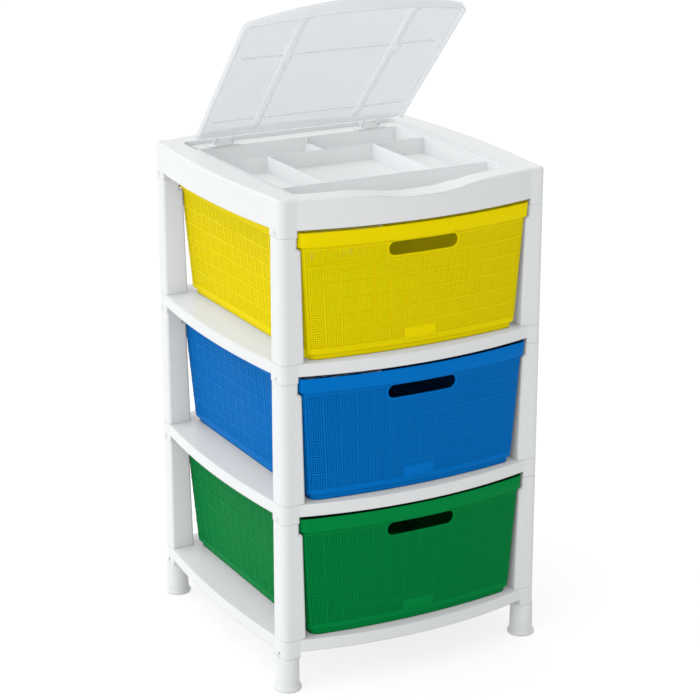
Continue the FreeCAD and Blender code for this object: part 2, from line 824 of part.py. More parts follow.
def build_drawer(label, tier):
    """A tapering bin with a stepped rim, finger slot and blank label plate on a bowed front."""
    plinth_shape = (plinth_half_width, plinth_front, plinth_rear, wall_low_bow_radius)
    low_shape = (wall_low_half_width, wall_low_front, wall_low_rear, wall_low_bow_radius)
    high_shape = (wall_high_half_width, wall_high_front, wall_high_rear, wall_high_bow_radius)
    rim_shape = (rim_half_width, rim_front, rim_rear, wall_high_bow_radius)
    rim_level = plinth_height + wall_height
    rim_top = rim_level + rim_height

    outside = new_body(label + "_outside")
    plinth = drawer_section(outside, "plinth", nothing, plinth_shape, nothing)
    pad(outside, plinth, plinth_height)
    loft(outside, "walls", [
        drawer_section(outside, "wall_low", plinth_height, low_shape, nothing),
        drawer_section(outside, "wall_high", rim_level, high_shape, nothing)])
    loft(outside, "rim", [
        drawer_section(outside, "rim_low", rim_level, rim_shape, rim_draft),
        drawer_section(outside, "rim_high", rim_top, rim_shape, nothing)])

    skin = new_body(label + "_skin")
    loft(skin, "grown_walls", [
        drawer_section(skin, "skin_low", plinth_height, low_shape, -relief),
        drawer_section(skin, "skin_high", rim_level, high_shape, -relief)])

    stamps = new_body(label + "_stamps")
    front_plane = rim_front + front_overrun
    front_view = sketch_on(stamps, "front_view", "XZ_Plane", front_plane)
    trace(front_view, stadium(slot_width / 2 + slot_border, slot_height / 2 + slot_border, slot_level))
    trace(front_view, rectangle(-label_width / 2, label_width / 2,
                                label_level - label_height / 2, label_level + label_height / 2))
    pad(stamps, front_view, front_cut_reach, reverse=True)

    raised = document.addObject("Part::MultiCommon", label + "_raised")
    raised.Shapes = [stamps, skin]
    whole = document.addObject("Part::MultiFuse", label + "_whole")
    whole.Shapes = [outside, raised]

    inside = new_body(label + "_inside")
    step = rim_level + drawer_wall
    loft(inside, "space", [
        drawer_section(inside, "space_low", drawer_wall, plinth_shape, drawer_wall, flat_corners=True),
        drawer_section(inside, "space_high", step, high_shape, drawer_wall, flat_corners=True)])
    loft(inside, "rim_space", [
        drawer_section(inside, "rim_space_low", step, rim_shape, drawer_wall + rim_draft, flat_corners=True),
        drawer_section(inside, "rim_space_high", rim_top, rim_shape, drawer_wall, flat_corners=True)])
    slot = sketch_on(inside, "slot", "XZ_Plane", front_plane)
    trace(slot, stadium(slot_width / 2, slot_height / 2, slot_level))
    pad(inside, slot, front_cut_reach, reverse=True)

    drawer = document.addObject("Part::Cut", label)
    drawer.Label = label
    drawer.Base = whole
    drawer.Tool = inside
    place(drawer, z=shelf_level(tier) + drawer_lift)
    return drawer


def lid_outline(inset):
    """Outline of the lid, moved inwards by the inset on three sides."""
    return bowed_box(lid_front_half_width - inset, lid_reach - inset, -lid_start,
                     lid_bow_radius - inset, lid_round - inset,
                     lid_rear_half_width - inset, lid_round - inset)


def build_lid():
    """The lid as closed about its axis, then turned to where it stands open."""
    body = new_body("lid")
    top = lid_underside + lid_thickness
    low = top - lip_middle_depth
    outline = sketch_on(body, "outline", "XY_Plane", low)
    trace(outline, lid_outline(nothing))
    pad(body, outline, lip_middle_depth)
    hollow = sketch_on(body, "hollow", "XY_Plane", low)
    inner = lid_outline(lid_wall)
    inner[3] = (inner[3][0], nothing)
    inner[4] = (nothing, nothing)
    inner[5] = (inner[6][0], nothing)
    del inner[6]
    del inner[4]
    trace(hollow, inner)
    pocket(body, hollow, lip_middle_depth - lid_thickness, reverse=True)

    trim = sketch_on(body, "trim", "XZ_Plane", nothing)
    flange_low = top - flange_depth
    lip_end = top - lip_end_depth
    sag = lip_middle_depth - lip_end_depth
    lip_radius = (lip_half_width * lip_half_width + sag * sag) / (sag * 2)
    outer = lid_front_half_width + overrun
    bottom = low - overrun
    trace(trim, [
        (-outer, bottom),
        (outer, bottom),
        (outer, flange_low),
        (lip_half_width + flange_width, flange_low),
        (lip_half_width, lip_end, -lip_radius),
        (-lip_half_width, lip_end),
        (-lip_half_width - flange_width, flange_low),
        (-outer, flange_low),
    ])
    pocket(body, trim, lid_reach + overrun, reverse=True)

    cross = sketch_on(body, "cross_ribs", "XY_Plane", lid_underside)
    half = cross_rib_width / 2
    for reach in (cross_rib_rear, cross_rib_front):
        trace(cross, rectangle(-cross_rib_half_length, cross_rib_half_length, -reach - half, half - reach))
    pad(body, cross, cross_rib_depth, reverse=True)
    for name, side in SIDES.items():
        rear_x = long_rib_rear_x * side
        front_x = long_rib_front_x * side
        half = long_rib_width / 2
        rib = sketch_on(body, name + "_rib", "XY_Plane", lid_underside)
        trace(rib, [
            (front_x - half, -long_rib_front),
            (front_x + half, -long_rib_front),
            (rear_x + half, -long_rib_rear),
            (rear_x - half, -long_rib_rear),
        ])
        pad(body, rib, long_rib_depth, reverse=True)
        tabs = sketch_on(body, name + "_tabs", "XY_Plane", lid_underside)
        tab_x = front_x + half
        for reach in (cross_rib_front, long_rib_front):
            trace(tabs, [
                (tab_x - tab_width, -reach),
                (tab_x + tab_width, -reach),
                (tab_x + tab_width, tab_length - reach),
                (tab_x - tab_width, tab_length * 2 - reach),
            ])
        pad(body, tabs, long_rib_depth, reverse=True)
        near_face = bearing_length / 2 + fit_gap
        pin = sketch_on(body, name + "_pin", "YZ_Plane", (clip_x - near_face) * side)
        ring(pin, nothing, nothing, pin_radius)
        pad(body, pin, near_face * 2, reverse=side < 0)
        for arm_name, arm_x in (("inner", clip_x - near_face - arm_width), ("outer", clip_x + near_face)):
            arm = sketch_on(body, name + arm_name + "_arm", "YZ_Plane", arm_x * side)
            trace(arm, [
                (nothing, -arm_radius, arm_radius),
                (nothing, arm_radius),
                (-arm_reach, arm_radius),
                (-arm_reach, nothing),
            ])
            pad(body, arm, arm_width, reverse=side < 0)
    place(body, y=axis_y, z=axis_level())
    body.Placement = FreeCAD.Placement(body.Placement.Base, FreeCAD.Rotation(FreeCAD.Vector(-1, 0, 0), 0))
    bind(body, "Placement.Rotation.Angle", lid_angle)
    return body


def axis_level():
    """Height of the lid's hinge axis above the floor."""
    return deck_level() - recess_depth + axis_above_ledge


def build_clip(label, side):
    """A bearing for the lid's pin: a thin foot plate with an open-topped round bore."""
    body = new_body(label)
    foot = sketch_on(body, "foot_plate", "YZ_Plane", nothing)
    trace(foot, rectangle(-clip_half_depth, clip_half_depth,
                          -axis_above_ledge, clip_plate - axis_above_ledge))
    pad(body, foot, clip_length, symmetric=True)
    bearing = sketch_on(body, "bearing", "YZ_Plane", nothing)
    trace(bearing, rectangle(-bearing_half_depth, bearing_half_depth, -axis_above_ledge, bearing_top))
    pad(body, bearing, bearing_length, symmetric=True)
    bore = sketch_on(body, "bore", "YZ_Plane", nothing)
    ring(bore, nothing, nothing, pin_radius + pin_gap)
    pocket(body, bore, clip_length, symmetric=True)
    mouth = sketch_on(body, "mouth", "YZ_Plane", nothing)
    trace(mouth, rectangle(-bearing_mouth / 2, bearing_mouth / 2, nothing, bearing_top + overrun))
    pocket(body, mouth, clip_length, symmetric=True)
    place(body, clip_x * side, axis_y, axis_level())
    return body


pieces = [build_deck(), build_lid()]
for side_name, side in SIDES.items():
    pieces.append(build_clip("hinge_clip_" + side_name, side))
for tier, label in enumerate(SHELVES):
    pieces.append(build_shelf(label, tier))
for tier, tier_name in enumerate(TIERS):
    pieces.append(build_drawer(tier_name + "_drawer", tier))
for side_name, side in SIDES.items():
    for end_name, end in ENDS.items():
        place_name = end_name + "_" + side_name
        pieces.append(build_foot("foot_" + place_name, side, end))
        for tier, tier_name in enumerate(TIERS):
            pieces.append(build_post(tier_name + "_post_" + place_name, tier, side, end))
document.recompute()

for item in document.Objects:
    if "Invalid" in item.State or "Error" in item.State:
        raise RuntimeError("%s is in error: %s" % (item.Label, item.State))

os.makedirs("parts", exist_ok=True)
for piece in pieces:
    shape = piece.Shape
    if shape.isNull() or not shape.isValid() or len(shape.Solids) != 1:
        raise RuntimeError("%s is not one sound solid" % piece.Label)
    shape.exportStep("parts/%s.step" % piece.Label)
    print(piece.Label, round(shape.Volume), [round(edge, 1) for edge in (
        shape.BoundBox.XMin, shape.BoundBox.XMax, shape.BoundBox.YMin, shape.BoundBox.YMax,
        shape.BoundBox.ZMin, shape.BoundBox.ZMax)])
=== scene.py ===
"""Looks of a plastic drawer tower: white frame, three woven bins and a clear hinged lid."""
import logging
import math
from dataclasses import dataclass, field, replace
from enum import Enum

import bpy
from mathutils import Matrix, Vector


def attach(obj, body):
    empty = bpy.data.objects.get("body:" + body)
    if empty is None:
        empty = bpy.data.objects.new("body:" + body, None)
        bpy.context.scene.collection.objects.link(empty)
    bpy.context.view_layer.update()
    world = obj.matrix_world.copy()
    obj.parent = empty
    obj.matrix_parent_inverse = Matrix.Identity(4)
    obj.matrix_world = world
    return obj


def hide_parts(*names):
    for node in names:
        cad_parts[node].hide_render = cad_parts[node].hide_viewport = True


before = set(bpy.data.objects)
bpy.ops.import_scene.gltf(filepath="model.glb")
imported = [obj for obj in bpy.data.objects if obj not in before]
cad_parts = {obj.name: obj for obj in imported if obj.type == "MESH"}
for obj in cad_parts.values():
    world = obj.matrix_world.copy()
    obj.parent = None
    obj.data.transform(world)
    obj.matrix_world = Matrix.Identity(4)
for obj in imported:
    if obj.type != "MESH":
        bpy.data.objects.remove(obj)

logging.basicConfig(level=logging.INFO, format="%(message)s")
log = logging.getLogger("drawer_tower")

MM = 0.001
Colour = tuple[float, float, float]


class Tree:
    """A node tree with short calls for adding, feeding and joining nodes."""

    NOISE_SPAN = (0.3, 0.7)

    def __init__(self, tree: bpy.types.NodeTree) -> None:
        """Wrap a tree."""
        self.tree = tree

    def add(self, kind: str, feeds: dict | None = None, **settings) -> bpy.types.Node:
        """Add a node.

        Args:
            kind: Type name of the node.
            feeds: Value or output socket for each input, by name or by number.
            **settings: Properties of the node.

        Returns:
            The new node.
        """
        node = self.tree.nodes.new(kind)
        for name, value in settings.items():
            setattr(node, name, value)
        for name, value in (feeds or {}).items():
            self.feed(node.inputs[name], value)
        return node

    def feed(self, socket: bpy.types.NodeSocket, value: object) -> None:
        """Join an output to an input, or set the input's constant.

        Args:
            socket: The input.
            value: An output socket or a constant.
        """
        if isinstance(value, bpy.types.NodeSocket):
            self.tree.links.new(value, socket)
        else:
            socket.default_value = value

    def math(self, operation: str, *values: object) -> bpy.types.NodeSocket:
        """Add a math node for numbers or sockets, and give its result."""
        kind = "ShaderNodeMath"
        return self.add(kind, dict(enumerate(values)), operation=operation).outputs[0]

    def vector(self, operation: str, *values: object, scale: object = None) -> bpy.types.NodeSocket:
        """Add a vector math node.

        Args:
            operation: Name of the operation.
            *values: Its operands, vectors or sockets.
            scale: Factor of a scaling.

        Returns:
            The result socket.
        """
        node = self.add("ShaderNodeVectorMath", dict(enumerate(values)), operation=operation)
        if scale is not None:
            self.feed(node.inputs["Scale"], scale)
        return node.outputs["Value" if operation == "DOT_PRODUCT" else "Vector"]

    def mix(self, factor: object, first: object, second: object, blend: str = "MIX") -> bpy.types.NodeSocket:
        """Mix two colours.

        Args:
            factor: How much of the second.
            first: First colour.
            second: Second colour.
            blend: Blend type.

        Returns:
            The mixed colour.
        """
        node = self.add("ShaderNodeMix", data_type="RGBA", blend_type=blend)
        self.feed(node.inputs[0], factor)
        self.feed(node.inputs[6], first)
        self.feed(node.inputs[7], second)
        return node.outputs[2]

    def spread(self, value: object, low: float, high: float,
               to_low: object, to_high: object) -> bpy.types.NodeSocket:
        """Map a number from the range low to high to another range."""
        feeds = {0: value, 1: low, 2: high, 3: to_low, 4: to_high}
        return self.add("ShaderNodeMapRange", feeds).outputs[0]

    def split(self, vector: object) -> bpy.types.bpy_prop_collection:
        """Take a vector apart into its three parts."""
        return self.add("ShaderNodeSeparateXYZ", {0: vector}).outputs

    def waves(self, scale: object, detail: float) -> bpy.types.NodeSocket:
        """Noise over the object.

        Args:
            scale: Waves for each metre.
            detail: Octaves.

        Returns:
            The noise.
        """
        place = self.add("ShaderNodeTexCoord").outputs["Object"]
        feeds = {"Vector": place, "Scale": scale, "Detail": detail}
        return self.add("ShaderNodeTexNoise", feeds).outputs["Fac"]

    def noise(self, scale: float, detail: float, low: float, high: float) -> bpy.types.NodeSocket:
        """Noise over the object, usually between low and high."""
        return self.spread(self.waves(scale, detail), *self.NOISE_SPAN, low, high)

    def grey(self, level: object) -> bpy.types.NodeSocket:
        """A grey colour of a level."""
        return self.add("ShaderNodeCombineColor", {0: level, 1: level, 2: level}).outputs[0]

    def seen(self) -> bpy.types.NodeSocket:
        """Whether a ray comes from the camera, straight, mirrored or through clear plastic.

        Returns:
            1 for such a ray, else 0.
        """
        rays = self.add("ShaderNodeLightPath").outputs
        direct = self.math("MAXIMUM", rays["Is Camera Ray"], rays["Is Glossy Ray"])
        return self.math("MAXIMUM", direct, rays["Is Transmission Ray"])


def new_group(name: str, kind: str, inputs: dict[str, object], outputs: dict[str, str]) -> tuple:
    """Make a node group with named sockets.

    Args:
        name: Name of the group.
        kind: Tree type.
        inputs: Default of each input, or the socket type of one that has none.
        outputs: Socket type for each output.

    Returns:
        The group as a Tree, its inputs' sockets and its output node.
    """
    kinds = {int: "NodeSocketInt", float: "NodeSocketFloat", tuple: "NodeSocketColor"}
    group = bpy.data.node_groups.new(name, kind)
    for label, default in inputs.items():
        socket_kind = kinds.get(type(default), default)
        socket = group.interface.new_socket(label, in_out="INPUT", socket_type=socket_kind)
        if socket_kind != default:
            socket.default_value = default
    for label, socket_kind in outputs.items():
        group.interface.new_socket(label, in_out="OUTPUT", socket_type=socket_kind)
    tree = Tree(group)
    return tree, tree.add("NodeGroupInput").outputs, tree.add("NodeGroupOutput")


def new_material(name: str) -> tuple[bpy.types.Material, Tree]:
    """Make an empty node material.

    Args:
        name: Its name.

    Returns:
        The material and its tree.
    """
    material = bpy.data.materials.new(name)
    material.use_nodes = True
    material.node_tree.nodes.clear()
    return material, Tree(material.node_tree)


def placed(name: str, data: bpy.types.ID) -> bpy.types.Object:
    """Put an object in the scene.

    Args:
        name: Its name.
        data: Its mesh, curve or camera.

    Returns:
        The new object.
    """
    thing = bpy.data.objects.new(name, data)
    bpy.context.scene.collection.objects.link(thing)
    return thing


@dataclass(frozen=True)
class ToneAndPaintedShade:
    """Moulded plastic's uneven tone, with painted shade in corners and painted shade inside closed rooms,
    which turns to painted light where the room shade is below 0.
    """

    patch_detail: float = 3.0
    corner_samples: int = 6
    room_reach: float = 0.4
    room_samples: int = 12
    shut_openness: float = 0.05
    free_openness: float = 0.14

    def group(self) -> bpy.types.NodeTree:
        """Build the group.

        Returns:
            A group from a colour to that colour with random tone and painted corner and room shade.
        """
        tree, given, out = new_group(
            "moulded_tone_and_painted_shade", "ShaderNodeTree",
            {"Color": (1.0, 1.0, 1.0, 1.0), "Patch Size": 0.12, "Variation": 0.03, "Corner Reach": 0.03,
             "Corner Shade": 0.06, "Room Shade": 0.0},
            {"Color": "NodeSocketColor"})
        patches = tree.waves(tree.math("DIVIDE", 1.0, given["Patch Size"]), self.patch_detail)
        swing = tree.math("MULTIPLY", tree.math("SUBTRACT", patches, 0.5), given["Variation"])
        # Painted shade: the colour is darkened where ambient occlusion finds near corners and creases.
        corner = tree.add("ShaderNodeAmbientOcclusion", {"Distance": given["Corner Reach"]},
                          samples=self.corner_samples).outputs["AO"]
        shade = tree.math("MULTIPLY", tree.math("SUBTRACT", 1.0, corner), given["Corner Shade"])
        level = tree.math("SUBTRACT", tree.math("ADD", 1.0, swing), shade)
        # Painted shade inside closed rooms, found by ambient occlusion; a room shade below 0 paints light
        # there instead.
        room = tree.add("ShaderNodeAmbientOcclusion", {"Distance": self.room_reach},
                        samples=self.room_samples).outputs["AO"]
        shut = tree.spread(room, self.shut_openness, self.free_openness, 1.0, 0.0)
        closed = tree.math("MULTIPLY", shut, given["Room Shade"])
        level = tree.math("MULTIPLY", level, tree.math("SUBTRACT", 1.0, closed))
        tree.feed(out.inputs[0], tree.mix(1.0, given["Color"], tree.grey(level), "MULTIPLY"))
        return tree.tree


@dataclass(frozen=True)
class Skin:
    """Satin moulded skin: softened edges under a fine grain."""

    edge_samples: int = 6
    grain_scale: float = 900.0
    grain_detail: float = 2.0
    grain_height: float = 0.2 * MM
    smear_scale: float = 9.0
    smear_detail: float = 4.0
    smear_swing: float = 0.05

    def group(self) -> bpy.types.NodeTree:
        """Build the group.

        Returns:
            A group that gives a normal and a roughness.
        """
        tree, given, out = new_group(
            "satin_skin", "ShaderNodeTree", {"Edge Radius": 0.001, "Grain": 0.05, "Roughness": 0.4},
            {"Normal": "NodeSocketVector", "Roughness": "NodeSocketFloat"})
        soft = tree.add("ShaderNodeBevel", {"Radius": given["Edge Radius"]}, samples=self.edge_samples)
        bump = tree.add("ShaderNodeBump", {
            "Strength": given["Grain"], "Distance": self.grain_height,
            "Height": tree.waves(self.grain_scale, self.grain_detail), "Normal": soft.outputs[0]})
        swing = tree.noise(self.smear_scale, self.smear_detail, -self.smear_swing, self.smear_swing)
        tree.feed(out.inputs["Normal"], bump.outputs[0])
        tree.feed(out.inputs["Roughness"], tree.math("ADD", given["Roughness"], swing))
        return tree.tree


class Shared:
    """The node groups that several materials use."""

    tone_and_painted_shade = ToneAndPaintedShade().group()
    skin = Skin().group()


@dataclass(frozen=True)
class Satin:
    """Opaque satin plastic with painted corner shade. A room shade above 0 paints shade into closed rooms,
    one below 0 paints light into them.
    """

    name: str
    colour: Colour
    roughness: float = 0.42
    edge_radius: float = 0.6 * MM
    variation: float = 0.03
    corner_reach: float = 2.5 * MM
    corner_shade: float = 0.7
    room_shade: float = 0.0
    specular: float = 0.03
    bounce: Colour | None = (0.55, 0.55, 0.55)

    def bare(self) -> "Satin":
        """The same plastic without softened edges, painted corner shade or painted room shade, for the
        outside of a fine weave.
        """
        return replace(self, name=self.name + "_weave", edge_radius=0.0, corner_shade=0.0, room_shade=0.0)

    def make(self) -> bpy.types.Material:
        """Build the material.

        Returns:
            The new material.
        """
        material, tree = new_material(self.name)
        tone_and_painted_shade = tree.add("ShaderNodeGroup", node_tree=Shared.tone_and_painted_shade)
        for name, value in (("Color", (*self.colour, 1.0)), ("Variation", self.variation),
                            ("Corner Reach", self.corner_reach), ("Corner Shade", self.corner_shade),
                            ("Room Shade", self.room_shade)):
            tree.feed(tone_and_painted_shade.inputs[name], value)
        # The colour now holds random tone, painted corner shade and painted room shade, which is painted
        # light when below 0.
        colour = tone_and_painted_shade.outputs[0]
        if self.bounce is not None:
            rays = tree.add("ShaderNodeLightPath").outputs
            colour = tree.mix(rays["Is Diffuse Ray"], colour, (*self.bounce, 1.0))
        skin = tree.add("ShaderNodeGroup", node_tree=Shared.skin)
        tree.feed(skin.inputs["Edge Radius"], self.edge_radius)
        tree.feed(skin.inputs["Roughness"], self.roughness)
        shader = tree.add("ShaderNodeBsdfPrincipled", {
            "Base Color": colour, "Roughness": skin.outputs["Roughness"],
            "Normal": skin.outputs["Normal"], "Specular IOR Level": self.specular})
        tree.add("ShaderNodeOutputMaterial", {"Surface": shader.outputs[0]})
        return material


@dataclass(frozen=True)
class Clear:
    """Clear plastic with a slight haze, and extra haze and gloss along its edges as a painted highlight."""

    name: str
    tint: Colour
    haze_colour: Colour
    edge_colour: Colour
    haze: float = 0.22
    haze_swing: float = 0.02
    cloud_scale: float = 14.0
    cloud_detail: float = 3.0
    edge_highlight_haze: float = 0.6
    graze_haze: float = 0.25
    graze_blend: float = 0.3
    edge_radius: float = 1.6 * MM
    edge_samples: int = 16
    bend_turn: tuple = (0.98, 0.7)
    side_turn: tuple = (0.97, 0.75)
    side_share: float = 0.45
    cast_share: float = 0.15
    roughness: float = 0.25
    edge_roughness: float = 0.6
    specular: float = 0.5
    plate_normal: tuple = (0.0, 0.7349, 0.6782)

    def edge_mask(self, tree: Tree, soft: bpy.types.NodeSocket) -> bpy.types.NodeSocket:
        """Find the edges: bends, and less so the faces that stand up from the plate.

        Args:
            tree: The material's tree.
            soft: Normal averaged round the edges.

        Returns:
            1 on an edge, else 0.
        """
        facing = tree.add("ShaderNodeTexCoord").outputs["Normal"]
        level = tree.math("ABSOLUTE", tree.vector("DOT_PRODUCT", facing, self.plate_normal))
        side = tree.spread(level, *self.side_turn, 0.0, self.side_share)
        flat = tree.add("ShaderNodeNewGeometry").outputs["Normal"]
        bend = tree.vector("DOT_PRODUCT", soft, flat)
        return tree.math("MAXIMUM", side, tree.spread(bend, *self.bend_turn, 0.0, 1.0))

    def make(self) -> bpy.types.Material:
        """Build the material.

        Returns:
            The new material.
        """
        material, tree = new_material(self.name)
        soft = tree.add("ShaderNodeBevel", {"Radius": self.edge_radius}, samples=self.edge_samples).outputs[0]
        edge = self.edge_mask(tree, soft)
        cloud = tree.noise(self.cloud_scale, self.cloud_detail, -self.haze_swing, self.haze_swing)
        weight = tree.add("ShaderNodeLayerWeight", {"Blend": self.graze_blend, "Normal": soft})
        haze = tree.math("ADD", self.haze, cloud)
        # Painted highlight: more milky haze on the edges and on the faces that stand up from the plate.
        haze = tree.math("ADD", haze, tree.math("MULTIPLY", edge, self.edge_highlight_haze))
        haze = tree.math("ADD", haze, tree.math("MULTIPLY", weight.outputs["Facing"], self.graze_haze))
        rays = tree.add("ShaderNodeLightPath").outputs
        unseen = tree.math("MAXIMUM", rays["Is Diffuse Ray"], rays["Is Shadow Ray"])
        haze = tree.math("MULTIPLY", haze, tree.spread(unseen, 0.0, 1.0, 1.0, self.cast_share))
        tint = tree.mix(unseen, (*self.tint, 1.0), (1.0, 1.0, 1.0, 1.0))
        clear = tree.add("ShaderNodeBsdfTransparent", {"Color": tint})
        milk = tree.add("ShaderNodeBsdfPrincipled", {
            "Base Color": (*self.haze_colour, 1.0), "Roughness": self.roughness, "Normal": soft,
            "Specular IOR Level": self.specular})
        gleam = tree.add("ShaderNodeBsdfAnisotropic", {
            "Color": (*self.edge_colour, 1.0), "Roughness": self.edge_roughness, "Normal": soft})
        coat = tree.add("ShaderNodeMixShader", {0: edge, 1: milk.outputs[0], 2: gleam.outputs[0]})
        both = tree.add("ShaderNodeMixShader", {0: tree.math("MINIMUM", haze, 1.0),
                                                1: clear.outputs[0], 2: coat.outputs[0]})
        tree.add("ShaderNodeOutputMaterial", {"Surface": both.outputs[0]})
        return material


class Finish(Enum):
    """The plastics of the tower."""

    # Corner shade and room shade are painted shade; the yellow's room shade below 0 is painted light inside
    # its bins.
    WHITE = Satin("white_plastic", (0.87, 0.89, 0.895), roughness=0.38, edge_radius=2.2 * MM,
                  variation=0.012, corner_reach=25 * MM, corner_shade=0.12, specular=0.35, bounce=None)
    YELLOW = Satin("yellow_plastic", (0.98, 0.79, 0.0), room_shade=-1.0, bounce=(0.85, 0.85, 0.85))
    BLUE = Satin("blue_plastic", (0.0, 0.19, 0.64), room_shade=0.93)
    GREEN = Satin("green_plastic", (0.0, 0.262, 0.056), room_shade=0.8)
    CLEAR = Clear("clear_plastic", (0.89, 0.903, 0.914), (0.84, 0.87, 0.9), (0.97, 0.98, 0.985))


class Plastics:
    """Each finish's material, made once."""

    made: dict[str, bpy.types.Material] = {}

    @classmethod
    def of(cls, finish: Finish, fine: bool = False) -> bpy.types.Material:
        """Give a finish's material.

        Args:
            finish: The finish.
            fine: Whether it is for the outside of a fine weave.

        Returns:
            Its material.
        """
        plastic = finish.value.bare() if fine else finish.value
        if plastic.name not in cls.made:
            cls.made[plastic.name] = plastic.make()
        return cls.made[plastic.name]


def solid(name: str, points: list[Vector], faces: list[tuple], finish: Finish,
          smooth_angle: float = 40.0) -> bpy.types.Object:
    """Make a mesh object with outward normals.

    Args:
        name: Name of the object.
        points: Its vertices.
        faces: Its faces as vertex numbers.
        finish: Its plastic.
        smooth_angle: Edges flatter than this many degrees are shaded smooth.

    Returns:
        The new object.
    """
    mesh = bpy.data.meshes.new(name)
    mesh.from_pydata(points, [], faces)
    mesh.validate()
    mesh.shade_smooth()
    mesh.set_sharp_from_angle(angle=math.radians(smooth_angle))
    mesh.materials.append(Plastics.of(finish))
    return placed(name, mesh)


def rings_faces(rings: int, count: int, closed: bool) -> list[tuple]:
    """Faces between rings of points, each ring wound counterclockwise from above.

    Args:
        rings: How many rings.
        count: Points in each ring.
        closed: Whether the last ring joins the first, else both get a lid.

    Returns:
        Faces that look outwards when the rings climb the outside.
    """
    faces = []
    for k in range(rings if closed else rings - 1):
        low = k * count
        high = (k + 1) % rings * count
        for i in range(count):
            j = (i + 1) % count
            faces.append((low + i, low + j, high + j, high + i))
    if not closed:
        faces.append(tuple(range(count - 1, -1, -1)))
        faces.append(tuple(range((rings - 1) * count, rings * count)))
    return faces


@dataclass(frozen=True)
class Plan:
    """Level section of a bin: a box with rounded corners and a bowed front."""

    half_width: float
    front: float
    rear: float
    bow: float
    turn: float = 12 * MM

    BOW_STEPS = 40
    TURN_STEPS = 8

    def moved_in(self, inset: float) -> "Plan":
        """The plan moved inwards, or outwards by a negative inset."""
        return Plan(self.half_width - inset, self.front - inset, self.rear - inset, self.bow - inset,
                    self.turn - inset)

    def blended(self, other: "Plan", share: float) -> "Plan":
        """The plan part of the way to another.

        Args:
            other: The plan at share 1.
            share: How far to go.

        Returns:
            The new plan.
        """
        mixed = [a + (b - a) * share for a, b in zip(
            (self.half_width, self.front, self.rear), (other.half_width, other.front, other.rear))]
        curve = 1 / self.bow + (1 / other.bow - 1 / self.bow) * share
        return Plan(*mixed, 1 / curve, self.turn)

    def arcs(self) -> list[list[Vector]]:
        """The bowed front and the parts round to it again, counterclockwise from above.

        Returns:
            Front, front right corner, rear right corner, rear left corner and front left corner.
        """
        turn_x = self.half_width - self.turn
        middle = self.bow - self.front
        lean = math.asin(turn_x / (self.bow - self.turn))
        corner_y = middle - (self.bow - self.turn) * math.cos(lean)
        front = [Vector((self.bow * math.sin(a), middle - self.bow * math.cos(a)))
                 for a in (lean * (2 * i / self.BOW_STEPS - 1) for i in range(self.BOW_STEPS + 1))]

        def corner(x: float, y: float, start: float, end: float) -> list[Vector]:
            """Points round the corner centred at x and y, between two angles from the front."""
            angles = (start + (end - start) * i / self.TURN_STEPS for i in range(self.TURN_STEPS + 1))
            return [Vector((x + self.turn * math.sin(a), y - self.turn * math.cos(a))) for a in angles]

        half = math.pi / 2
        rear_y = self.rear - self.turn
        return [front, corner(turn_x, corner_y, lean, half), corner(turn_x, rear_y, half, 2 * half),
                corner(-turn_x, rear_y, 2 * half, 3 * half),
                corner(-turn_x, corner_y, 3 * half, 4 * half - lean)]

    def loop(self) -> list[Vector]:
        """All points of the closed outline.

        Returns:
            The points, counterclockwise from above.
        """
        front, *corners = self.arcs()
        points = front[:-1]
        for corner in corners[:-1]:
            points += corner
        return points + corners[-1][:-1]

    def wall(self, number: int) -> list[Vector]:
        """One wall's outline from corner middle to corner middle.

        Args:
            number: 0 front, 1 right, 2 rear, 3 left.

        Returns:
            The points, counterclockwise from above.
        """
        front, *corners = self.arcs()
        half = self.TURN_STEPS // 2
        after = corners[number][:half + 1]
        before = corners[number - 1][half:]
        return before + (front[1:-1] if number == 0 else []) + after


def swept(name: str, sections: list[tuple[Plan, float]], finish: Finish, closed: bool) -> bpy.types.Object:
    """Skin a stack of plans.

    Args:
        name: Name of the object.
        sections: Each plan and its level, up the outside first.
        finish: Its plastic.
        closed: Whether the last section joins the first, else both are capped.

    Returns:
        The new object.
    """
    points = []
    for section, level in sections:
        points += [Vector((p.x, p.y, level)) for p in section.loop()]
    count = len(points) // len(sections)
    return solid(name, points, rings_faces(len(sections), count, closed), finish)


@dataclass(frozen=True)
class Weave:
    """Sizes of the woven pattern, in metres and holes."""

    bar: float = 1.45 * MM
    hole: float = 1.50 * MM
    thickness: float = 0.8 * MM
    rib_extra: float = 0.85 * MM
    rib_lift: float = 0.35 * MM
    unevenness: float = 0.05 * MM
    holes_per_rib: int = 7


@dataclass(frozen=True)
class Stamp:
    """The finger slot and the blank label plate of a bin's front."""

    slot_half_width: float = 47 * MM
    slot_half_height: float = 8.75 * MM
    slot_level: float = 129.4 * MM
    slot_border: float = 2.3 * MM
    label_half_width: float = 21.7 * MM
    label_half_height: float = 7.5 * MM
    label_level: float = 20 * MM
    label_round: float = 0.4 * MM
    label_sunk: float = 0.4 * MM
    slot_shoulder: float = 0.45 * MM
    slot_sunk: float = 0.1 * MM
    cut_share: float = 0.55
    relief: float = 0.9 * MM

    END_STEPS = 20
    SIDE_SPANS = 14
    LABEL_SPANS = 16
    SHOULDER_MIDDLE = 0.3


